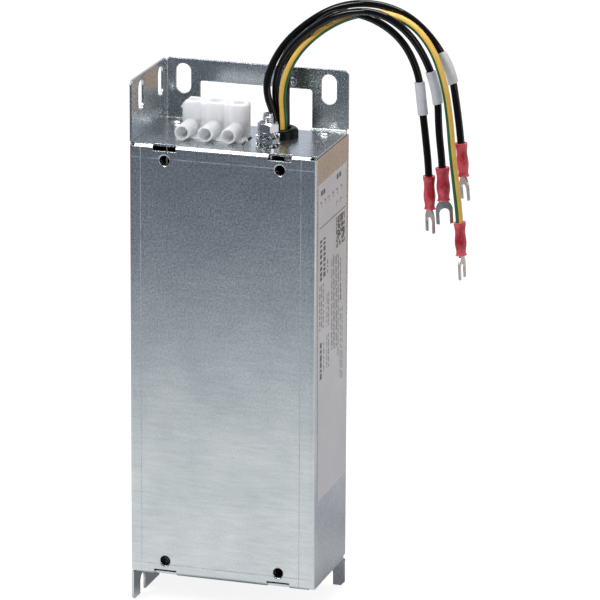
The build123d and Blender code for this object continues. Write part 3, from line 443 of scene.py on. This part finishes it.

# %% [markdown]
# Three more marks lie along the folds. The round bend beside the front is painted a little
# paler, a painted highlight where the bend catches the light; the open seam gaps beside deck and
# floor are painted dark, a painted shade inside the gaps; and the die nibbles ticks into the
# ear's front edge. All are bands of colour too.

# %% Bend highlight, seam shade and ticks on the zinc
DECK = 94.0
SIDE = 0.0402
EAR_EDGE = -0.0394
SEAM_HALF = 0.0003
beside = maths(tree, "GREATER_THAN", sheet_axes["X"], SIDE)
# Painted highlight: the round bend beside the front is lightened, as where it catches the light.
bend_painted_highlight = maths(tree, "MULTIPLY", beside, spread(tree, sheet_axes["Y"], 1.0, 0.0, -0.0445, -0.0433))
tone = mixed(tree, maths(tree, "MULTIPLY", bend_painted_highlight, 0.3), tone, (0.86, 0.85, 0.88))
# Painted shade: the open seam gaps beside deck and floor are darkened, as their insides lie in shade.
seam_painted_shade = 0.0
for seam_at in (0.0931, -0.0953):
    seam_painted_shade = maths(tree, "ADD", maths(tree, "COMPARE", sheet_axes["Z"], seam_at, SEAM_HALF), seam_painted_shade)
seam_painted_shade = maths(tree, "MULTIPLY", seam_painted_shade, beside)
tone = mixed(tree, maths(tree, "MULTIPLY", seam_painted_shade, 0.85), tone, (0.04, 0.035, 0.03))
ticks = 0.0
for rise in (6.0, 12.0, 18.0):
    tick = maths(tree, "COMPARE", sheet_axes["Z"], (DECK + rise) * MM, SEAM_HALF)
    ticks = maths(tree, "ADD", tick, ticks)
nibbled = maths(tree, "LESS_THAN", sheet_axes["X"], EAR_EDGE)
ticks = maths(tree, "MULTIPLY", maths(tree, "MULTIPLY", ticks, nibbled), on_front)
tone = mixed(tree, ticks, tone, (0.03, 0.03, 0.03))
tree.links.new(tone, shader.inputs["Base Color"])
print("colour nodes in the zinc:", len(tree.nodes))

# %% [markdown]
# The shine does half of the work on bare metal. Crystals differ a little in roughness and
# the tool lines are matt. A very low bump breaks the mirror image up, and a Bevel node
# rounds the cut edges in the shading, so that they catch the light as real edges do.

# %% Zinc shine
sheen = spread(tree, speckle, 0.24, 0.3, 0.3, 0.7)
tree.links.new(maths(tree, "ADD", sheen, maths(tree, "MULTIPLY", lines, 0.5)), shader.inputs["Roughness"])
grain = noise(tree, 3200, 2)
height = maths(tree, "ADD", maths(tree, "MULTIPLY", speckle, 0.6), maths(tree, "MULTIPLY", grain, 0.4))
bump(tree, shader, height, 0.00002, 0.1, 0.0004)
print("nodes in the whole zinc:", len(tree.nodes))

# %% [markdown]
# The fittings are brighter than the sheet: plated steel on the stud, bare alloy in the
# rivets and dull tin on the forks. They could share one metal, but each differs in how
# sharply it mirrors, so each gets its own roughness and its own fine bump.

# %% Other metals
plated, tree, shader = finish_of("zinc_plating", (0.7, 0.71, 0.72), 0.16, 1.0)
tree.links.new(spread(tree, noise(tree, 900, 3), 0.14, 0.3), shader.inputs["Roughness"])
bump(tree, shader, noise(tree, 1400, 2), 0.00002, 0.3, 0.00015)
alloy, tree, shader = finish_of("rivet_alloy", (0.8, 0.81, 0.82), 0.28, 1.0)
tree.links.new(spread(tree, noise(tree, 700, 3), 0.2, 0.38), shader.inputs["Roughness"])
bump(tree, shader, noise(tree, 900, 2), 0.00003, 0.3, 0.0002)
tinned, tree, shader = finish_of("tin_plating", (0.74, 0.73, 0.71), 0.3, 1.0)
tin_tone = mottled(tree, noise(tree, 300, 3), (0.62, 0.6, 0.57), (0.8, 0.79, 0.77))
tree.links.new(tin_tone, shader.inputs["Base Color"])
tree.links.new(spread(tree, noise(tree, 700, 3), 0.2, 0.42), shader.inputs["Roughness"])
bump(tree, shader, noise(tree, 1500, 2), 0.00002, 0.4, 0.00018)

# %% [markdown]
# The terminal block is milky nylon. White paint would look too hard for it. Nylon lets
# light a few millimetres in and out again, so it gets subsurface scattering, which fills
# its shadows.

# %% White nylon
white_nylon, tree, shader = finish_of(
    "white_polyamide", (0.87, 0.88, 0.9), 0.38,
    Subsurface_Weight=0.9, Subsurface_Scale=0.006, Coat_Weight=0.1,
)
shader.inputs["Subsurface Radius"].default_value = (1.0, 1.0, 1.0)
bump(tree, shader, noise(tree, 1500, 2), 0.00002, 0.3)

# %% [markdown]
# The lead insulation is deep black PVC with a narrow shine, and the grommet is rubber, just
# as black but softer in its shine. On black, only the reflection shows what the stuff is, so
# the two differ in roughness and in how strongly they mirror.

# %% Black PVC and rubber
black_pvc, tree, shader = finish_of("black_pvc", (0.004, 0.004, 0.0045), 0.16, Specular_IOR_Level=0.35)
tree.links.new(spread(tree, noise(tree, 260, 3), 0.06, 0.12), shader.inputs["Roughness"])
bump(tree, shader, noise(tree, 700, 2), 0.00002, 0.3)
black_rubber, tree, shader = finish_of("black_rubber", (0.004, 0.004, 0.004), 0.25, Specular_IOR_Level=0.16)
tree.links.new(spread(tree, noise(tree, 400, 3), 0.18, 0.32), shader.inputs["Roughness"])
bump(tree, shader, noise(tree, 1500, 2), 0.00002, 0.3)

# %% [markdown]
# The crimp sleeves are soft red vinyl, which looks darker where the metal barrel lies close
# behind it. The barrel could be modelled inside a clear sleeve, but the thin red skin hides
# it, so patches of two reds say the same. The marker sleeves are plain white PVC.

# %% Sleeves and markers
red_vinyl, tree, shader = finish_of(
    "red_vinyl", (0.6, 0.04, 0.07), 0.25, Subsurface_Weight=0.2, Subsurface_Scale=0.001
)
red_tone = mottled(tree, noise(tree, 170, 2), (0.46, 0.018, 0.036), (0.88, 0.13, 0.17), 0.36, 0.64)
tree.links.new(red_tone, shader.inputs["Base Color"])
bump(tree, shader, noise(tree, 500, 2), 0.00004, 0.4)
marker_white, tree, shader = finish_of("marker_pvc", (0.78, 0.79, 0.83), 0.35)
white_tone = mottled(tree, noise(tree, 200, 2), (0.72, 0.73, 0.77), (0.82, 0.83, 0.86))
tree.links.new(white_tone, shader.inputs["Base Color"])
bump(tree, shader, noise(tree, 600, 2), 0.00003, 0.3)

# %% [markdown]
# The earth lead is half yellow and half green along its length. Two half tubes would leave
# a crack, so one surface is coloured instead. A bevelled curve carries a UV map whose Y runs
# round the section, and comparing Y with a threshold splits the colours. An offset turns the
# seam to where it shows on the real lead, and X, which runs along the lead, adds the slight
# twist that wire keeps from its reel.

# %% Earth lead stripes
EARTH_TURN = 0.72
EARTH_TWIST = 0.14
GREEN_SHARE = 0.45
earth_pvc, tree, shader = finish_of("earth_pvc", (0.1, 0.4, 0.1), 0.28)
skin = axes_of(tree, "UV")
twist = maths(tree, "MULTIPLY_ADD", skin["X"], EARTH_TWIST, EARTH_TURN)
turned = maths(tree, "FRACT", maths(tree, "ADD", skin["Y"], twist))
half = maths(tree, "GREATER_THAN", turned, GREEN_SHARE)
mottle = noise(tree, 200, 2)
green = mottled(tree, mottle, (0.008, 0.11, 0.035), (0.015, 0.17, 0.055))
yellow = mottled(tree, mottle, (0.86, 0.5, 0.08), (0.92, 0.58, 0.12))
tree.links.new(mixed(tree, half, green, yellow), shader.inputs["Base Color"])
bump(tree, shader, noise(tree, 700, 2), 0.00002, 0.3)

# %% [markdown]
# The label is silver-grey foil with a faint ripple where it was rubbed down by hand. Metal
# foil would mirror the room, but this one is matt and looks more like paint, so it isn't
# made a metal. The ink is printed thinly, so it breaks up into dark and less dark.

# %% Label foil and ink
foil, tree, shader = finish_of("label_foil", (0.68, 0.68, 0.7), 0.4)
foil_tone = mottled(tree, noise(tree, 30, 3), (0.79, 0.78, 0.795), (0.9, 0.895, 0.91))
tree.links.new(foil_tone, shader.inputs["Base Color"])
bump(tree, shader, noise(tree, 120, 2), 0.00004, 0.3)
ink, tree, shader = finish_of("label_ink", (0.12, 0.11, 0.12), 0.5)
ink_tone = mottled(tree, noise(tree, 1500, 2), (0.08, 0.075, 0.08), (0.2, 0.19, 0.2))
tree.links.new(ink_tone, shader.inputs["Base Color"])

# %% [markdown]
# The parts inside are hidden by the box but finished all the same, so that the model can be
# opened up. They could each have a tree of their own. Since nobody sees them closely, one
# helper makes them all: a base colour broken up by noise, and a finer bump.


# %% Finishes inside the box
def inner_finish(name, low, high, rough, scale, metal=0.0):
    made, tree, shader = finish_of(name, low, rough, metal)
    tree.links.new(mottled(tree, noise(tree, scale, 3), low, high), shader.inputs["Base Color"])
    bump(tree, shader, noise(tree, 4 * scale, 2), 0.00003, 0.3)
    return made


laminate = inner_finish("board_laminate", (0.03, 0.16, 0.06), (0.05, 0.24, 0.09), 0.35, 300)
ferrite = inner_finish("ferrite", (0.04, 0.08, 0.06), (0.06, 0.12, 0.09), 0.5, 400)
enamel = inner_finish("enamel_wire", (0.42, 0.12, 0.04), (0.6, 0.2, 0.07), 0.3, 500, 0.8)
yellow_case = inner_finish("capacitor_case", (0.55, 0.4, 0.05), (0.66, 0.5, 0.08), 0.45, 200)
blue_case = inner_finish("small_case", (0.04, 0.1, 0.32), (0.06, 0.16, 0.42), 0.4, 200)
# The insulation sheet is near black: the own colour of black fish paper, and also a painted shade for the
# dark inside of the box seen through the slots.
paper = inner_finish("fish_paper", (0.04, 0.038, 0.035), (0.07, 0.065, 0.06), 0.7, 250)
lacquer = inner_finish("resistor_body", (0.5, 0.36, 0.2), (0.62, 0.46, 0.27), 0.4, 300)
pillar = inner_finish("nylon_pillar", (0.68, 0.68, 0.62), (0.78, 0.78, 0.73), 0.5, 200)
inner_earth = inner_finish("inner_earth_wire", (0.3, 0.42, 0.03), (0.5, 0.5, 0.05), 0.35, 120)

# %% [markdown]
# Now every measured solid gets its finish. A solid whose shape is right stays as it is, and
# only its material changes, so nothing can drift from its measured place. The leads get
# theirs here as well.

# %% Finishes laid on the measured solids
finishes = {
    "housing": zinc, "back_cover": zinc, "deck_rivets": alloy, "floor_rivets": alloy,
    "terminal_body": white_nylon, "terminal_clamps": plated, "terminal_screws": plated,
    "earth_stud": plated, "earth_nut": plated, "plain_washers": plated, "toothed_washers": plated,
    "spring_washer": plated, "grommet": black_rubber, "side_label": foil, "circuit_board": laminate,
    "board_standoffs": pillar, "board_screws": plated, "insulation_sheet": paper,
    "choke_core": ferrite, "choke_winding_1": enamel, "choke_winding_2": enamel,
    "choke_winding_3": enamel, "x_capacitor_1": yellow_case, "x_capacitor_2": yellow_case,
    "x_capacitor_3": yellow_case, "y_capacitors": blue_case, "bleed_resistors": lacquer,
    "input_wires": black_pvc, "lead_stubs": black_pvc, "earth_wire": inner_earth, "earth_lug": tinned,
}
for key, lead in leads.items():
    insulation = earth_pvc if key == "earth" else black_pvc
    finishes[f"lead_{key}"] = insulation
    finishes[f"crimp_sleeve_{key}"] = red_vinyl
    finishes[f"fork_{key}"] = tinned
    if key != "earth":
        finishes[f"marker_{key}"] = marker_white
    lead.data.materials.append(insulation)
for name, finish in finishes.items():
    solid = nodes[name]
    solid.data.materials.clear()
    solid.data.materials.append(finish)
print("finishes laid:", len(finishes), "of", len(nodes))

# %% [markdown]
# From here on, finer pieces are modelled over the solids. Operators act on whatever is
# selected, so small helpers put everything down, pick something up and join several. The
# last one settles a finished piece: its place goes into its mesh, it is shaded smooth, and
# it gets its finish and its body.


# %% Helpers for modelling
def put_down():
    if bpy.context.object and bpy.context.object.mode != "OBJECT":
        bpy.ops.object.mode_set(mode="OBJECT")
    bpy.ops.object.select_all(action="DESELECT")


def pick_up(*things):
    put_down()
    for thing in things:
        thing.select_set(True)
    bpy.context.view_layer.objects.active = things[0]


def joined(things):
    pick_up(*things)
    bpy.ops.object.join()
    return bpy.context.object


def settled(piece, name, material, smooth=35):
    pick_up(piece)
    piece.name = name
    bpy.ops.object.transform_apply(location=True, rotation=True, scale=True)
    bpy.ops.object.shade_smooth_by_angle(angle=math.radians(smooth))
    piece.data.materials.clear()
    piece.data.materials.append(material)
    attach(piece, "root")
    print(name, "faces:", len(piece.data.polygons))


print("pieces can be picked up, joined and settled")

# %% [markdown]
# The earth stud is an M5 screw pushed up through the deck, its flat head pressed in from
# below. A cylinder with its ends bevelled makes the core, and a second one the head.

# %% Stud core and head
STUD_X = 17.0
STUD_Y = -37.7
STUD_TOP = DECK + 15.0
STUD_FOOT = DECK - 1.8
put_down()
bpy.ops.mesh.primitive_cylinder_add(
    vertices=48, radius=1.98 * MM, depth=(STUD_TOP - STUD_FOOT) * MM,
    location=(0, 0, (STUD_TOP + STUD_FOOT) / 2 * MM),
)
stud_core = bpy.context.object
bpy.ops.object.mode_set(mode="EDIT")
bpy.ops.mesh.bevel(offset=0.45 * MM, segments=2, affect="EDGES", clamp_overlap=True)
put_down()
bpy.ops.mesh.primitive_cylinder_add(
    vertices=48, radius=4.25 * MM, depth=2 * MM, location=(0, 0, (STUD_FOOT - 1) * MM)
)
stud_head = bpy.context.object
bpy.ops.object.mode_set(mode="EDIT")
bpy.ops.mesh.bevel(offset=0.3 * MM, segments=2, affect="EDGES")
print("stud core is", round(STUD_TOP - STUD_FOOT, 1), "mm long")

# %% [markdown]
# The thread could be a texture of rings, but its outline shows against the white window
# behind it. So a small triangle is wound round the core by a Screw modifier, one turn every
# 0.8 mm, and its two open ends are filled.

# %% Thread of the stud
THREAD_PITCH = 0.8
THREAD_TURNS = 18
put_down()
bpy.ops.mesh.primitive_circle_add(
    vertices=3, radius=0.44 * MM, location=(1.96 * MM, 0, (STUD_FOOT + 1.2) * MM),
    rotation=(math.pi / 2, math.pi / 2, 0),
)
thread = bpy.context.object
bpy.ops.object.transform_apply(location=True, rotation=True, scale=True)
wind = thread.modifiers.new("wind", "SCREW")
wind.axis = "Z"
wind.angle = 2 * math.pi
wind.screw_offset = THREAD_PITCH * MM
wind.iterations = THREAD_TURNS
wind.steps = 24
wind.render_steps = 24
bpy.ops.object.modifier_apply(modifier="wind")
bpy.ops.object.mode_set(mode="EDIT")
bpy.ops.mesh.select_all(action="SELECT")
bpy.ops.mesh.fill_holes(sides=3)
bpy.ops.mesh.normals_make_consistent(inside=False)
put_down()
print("thread faces:", len(thread.data.polygons))

# %% [markdown]
# Core, head and thread were made round the world's own axis, where winding is easy. Joined
# into one piece, they are set down where the stud stands on the deck.

# %% Threaded earth stud
stud = joined([stud_core, stud_head, thread])
bpy.ops.object.transform_apply(location=True, rotation=True, scale=True)
stud.location = (STUD_X * MM, STUD_Y * MM, 0)
settled(stud, "earth_stud_threaded", plated, 30)
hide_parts("earth_stud")

# %% [markdown]
# The teeth of the washers and the strokes of the earth sign are short bars. A bare cube has
# edges that no real part has, so every bar gets its size first and then a small bevel, which
# comes out even because the scale has been applied.


# %% Helper for small bars
def rounded_bar(place, size, turn=(0, 0, 0), edge=0.1):
    put_down()
    bpy.ops.mesh.primitive_cube_add(size=1, location=[c * MM for c in place], rotation=turn)
    made = bpy.context.object
    made.scale = [c * MM for c in size]
    bpy.ops.object.transform_apply(location=False, rotation=False, scale=True)
    bpy.ops.object.mode_set(mode="EDIT")
    bpy.ops.mesh.bevel(offset=edge * MM, segments=2, affect="EDGES")
    bpy.ops.object.mode_set(mode="OBJECT")
    return made


print("small bars can be made")

# %% [markdown]
# The toothed washers bite into the metal with a ring of twisted teeth. They could be cut
# from one ring, but a twisted tooth is easier as a bar turned half over. It is made once,
# copied till there are twelve round the ring, and joined to it.


# %% Helper for toothed washers
TEETH = 12
RING_HIGH = 0.6


def toothed_washer(middle, thickness, tooth_width):
    put_down()
    circles = []
    for radius in (3.75, 2.65):
        bpy.ops.mesh.primitive_circle_add(
            vertices=48, radius=radius * MM, location=(0, 0, (middle - RING_HIGH / 2) * MM)
        )
        circles.append(bpy.context.object)
    ring = joined(circles)
    bpy.ops.object.mode_set(mode="EDIT")
    bpy.ops.mesh.select_all(action="SELECT")
    bpy.ops.mesh.bridge_edge_loops()
    bpy.ops.mesh.extrude_region_move(TRANSFORM_OT_translate={"value": (0, 0, RING_HIGH * MM)})
    bpy.ops.mesh.select_all(action="SELECT")
    bpy.ops.mesh.normals_make_consistent(inside=False)
    first = rounded_bar((4.25, 0, middle), (1.5, tooth_width, thickness), (math.radians(-42), 0, 0))
    parts = [ring, first]
    for step in range(1, TEETH):
        tooth = bpy.data.objects.new("tooth", first.data.copy())
        bpy.context.collection.objects.link(tooth)
        tooth.matrix_world = Matrix.Rotation(2 * math.pi * step / TEETH, 4, "Z") @ first.matrix_world
        parts.append(tooth)
    return joined(parts)


print("teeth on each washer:", TEETH)

# %% [markdown]
# One washer lies on the deck and a slightly thinner one under the nut. The pair is a single
# piece here, because both belong to the same measured solid, which it replaces.

# %% Toothed washers
lower = toothed_washer(DECK + 1.9, 0.5, 1.55)
upper = toothed_washer(DECK + 5.6, 0.45, 1.4)
washers = joined([lower, upper])
bpy.ops.object.transform_apply(location=True, rotation=True, scale=True)
washers.location = (STUD_X * MM, STUD_Y * MM, 0)
settled(washers, "toothed_washers_twisted", plated, 30)
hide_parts("toothed_washers")

# %% [markdown]
# The terminal block comes out of its mould with every edge and inner corner softly rounded.
# A bevel would need clean edges, which a measured solid doesn't have. So a copy of it is
# merged, remeshed into small even squares and smoothed, which rounds all corners alike.

# %% Terminal block
SQUARE = 0.3
block = bpy.data.objects.new("terminal_block_soft", nodes["terminal_body"].data.copy())
bpy.context.collection.objects.link(block)
pick_up(block)
bpy.ops.object.mode_set(mode="EDIT")
bpy.ops.mesh.select_all(action="SELECT")
bpy.ops.mesh.remove_doubles(threshold=0.000002)
bpy.ops.object.mode_set(mode="OBJECT")
even = block.modifiers.new("even", "REMESH")
even.mode = "VOXEL"
even.voxel_size = SQUARE * MM
bpy.ops.object.modifier_apply(modifier="even")
soften = block.modifiers.new("soften", "SMOOTH")
soften.factor = 0.5
soften.iterations = 3
bpy.ops.object.modifier_apply(modifier="soften")
settled(block, "terminal_block_soft", white_nylon, 180)
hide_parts("terminal_body")

# %% [markdown]
# A label on such a box is covered in small print. An image would need a UV map and could be
# read, so here each mark is a thin slip of ink that stands just proud of the foil. One
# helper lays a single mark, and the other a column of dashes in place of a line of words.

# %% Helpers for the printing
INK_X = 40.71
INK_THICK = 0.03
LABEL_MIDDLE = -22.6
marks = []


def ink_bar(y, z, wide, tall):
    bpy.ops.mesh.primitive_cube_add(
        size=1, location=(INK_X * MM, y * MM, z * MM), scale=(INK_THICK * MM, wide * MM, tall * MM)
    )
    marks.append(bpy.context.object)


def ink_words(y, top, bottom, wide, longest):
    z = DECK - top
    while z > DECK - bottom:
        word = min(random.uniform(0.35, 1.0) * longest, z - (DECK - bottom) + 0.4)
        ink_bar(y, z - word / 2, wide, word)
        z -= word + random.uniform(0.4, 1.1)


print("ink stands out to", INK_X, "mm")

# %% [markdown]
# The top of the label has a rule, two pairs of blocks and small hooks where the terminals
# would be named. Below the rule comes a mosaic of squares, each there or not by chance, so
# it holds no message. The seed is fixed, so it comes out the same every time.

# %% Signs and mosaic on the label
random.seed(7)
MOSAIC_STEP = 0.82
MOSAIC_ROWS = 16
MOSAIC_COLUMNS = 15
FILLED_SHARE = 0.6
put_down()
ink_bar(LABEL_MIDDLE, DECK - 31.2, 37.0, 0.4)
for y in (-37.8, -34.6, -15.6, -12.0):
    ink_bar(y, DECK - (16.6 if y < -20 else 15.3), 2.6, 2.1)
for y in (-39.0, -33.4, -28.8, -22.4, -16.7, -10.5):
    ink_bar(y, DECK - 20.4, 2.6, 0.35)
    ink_bar(y + 1.1, DECK - 21.6, 0.4, 2.4)
for y in (-16.2, -10.3):
    ink_bar(y, DECK - 26.0, 2.4, 0.35)
    ink_bar(y - 0.9, DECK - 27.0, 0.4, 2.0)
for row in range(MOSAIC_ROWS):
    for column in range(MOSAIC_COLUMNS):
        if random.random() < FILLED_SHARE:
            y = -17.2 + MOSAIC_STEP * column
            ink_bar(y, DECK - 33.2 - MOSAIC_STEP * row, MOSAIC_STEP, MOSAIC_STEP)
print("marks so far:", len(marks))

# %% [markdown]
# The words run up the label, turned on their side. Each column is given by its place across
# the label, where it starts and stops below the deck, how tall its letters would be and how
# long its longest word is. All marks are then joined and tilted with the label, which was
# stuck on a little askew.

# %% Words on the label
LABEL_TILT = 0.8
left_columns = [
    (-38.8, 36.6, 54.0, 2.9, 2.4), (-34.0, 36.6, 54.0, 2.9, 2.4),
    (-40.4, 56.0, 75.0, 0.8, 3.0), (-38.2, 56.0, 75.0, 0.8, 3.0), (-35.6, 56.0, 75.0, 0.8, 3.0),
    (-38.8, 81.0, 97.0, 2.4, 3.4), (-34.6, 82.0, 94.0, 0.7, 3.0), (-29.5, 47.4, 53.5, 0.9, 2.0),
    (-30.2, 62.0, 76.0, 0.7, 3.5), (-30.2, 80.0, 94.0, 0.7, 3.5),
    (-27.8, 62.0, 76.0, 0.7, 3.5), (-27.8, 80.0, 94.0, 0.7, 3.5),
]
right_columns = [
    (-11.2, 52.0, 62.0, 0.7, 3.0), (-10.8, 63.0, 71.0, 1.3, 2.5),
    (-11.0, 74.0, 105.0, 0.6, 4.0), (-8.4, 74.0, 105.0, 0.6, 4.0),
]
for column in left_columns:
    ink_words(*column)
for step in range(5):
    ink_words(-23.4 + 2.3 * step, 47.0 + random.uniform(0, 3), 96.0 - random.uniform(0, 8), 0.75, 5.5)
for column in right_columns:
    ink_words(*column)
print("marks on the label:", len(marks))
printing = joined(marks)
bpy.ops.object.transform_apply(location=True, rotation=True, scale=True)
centre = Vector((INK_X * MM, LABEL_MIDDLE * MM, (DECK - 81.2) * MM))
tilt = Matrix.Rotation(math.radians(LABEL_TILT), 4, "X")
printing.matrix_world = Matrix.Translation(centre) @ tilt @ Matrix.Translation(-centre)
settled(printing, "label_printing", ink, 30)

# %% [markdown]
# A small earth sign is pressed into the upper flange beside the leads: a ring with a stem
# and three bars. It is a common sign and names nobody. A bump could hint at it, but it
# catches the light on its edges, so it is a ring and four bars, half sunk in the sheet.

# %% Earth sign
SIGN_X = 16.1
SIGN_Y = -1.0
SIGN_Z = DECK + 19.5
BAR_THICK = 0.28
put_down()
bpy.ops.mesh.primitive_torus_add(
    major_radius=1.8 * MM, minor_radius=0.16 * MM, major_segments=48, minor_segments=8,
    location=(SIGN_X * MM, SIGN_Y * MM, SIGN_Z * MM), rotation=(math.pi / 2, 0, 0),
)
sign = [bpy.context.object]
sign.append(rounded_bar((SIGN_X, SIGN_Y, SIGN_Z + 0.75), (BAR_THICK, BAR_THICK, 1.4)))
for drop, wide in ((0.0, 2.2), (-0.55, 1.5), (-1.1, 0.8)):
    sign.append(rounded_bar((SIGN_X, SIGN_Y, SIGN_Z + drop), (wide, BAR_THICK, BAR_THICK)))
settled(joined(sign), "earth_sign", zinc, 40)

# %% [markdown]
# Last, the view layer is updated, so that every added piece stands in its place. Nothing
# that is added may stick out of the measured solids.

# %% The end
bpy.context.view_layer.update()
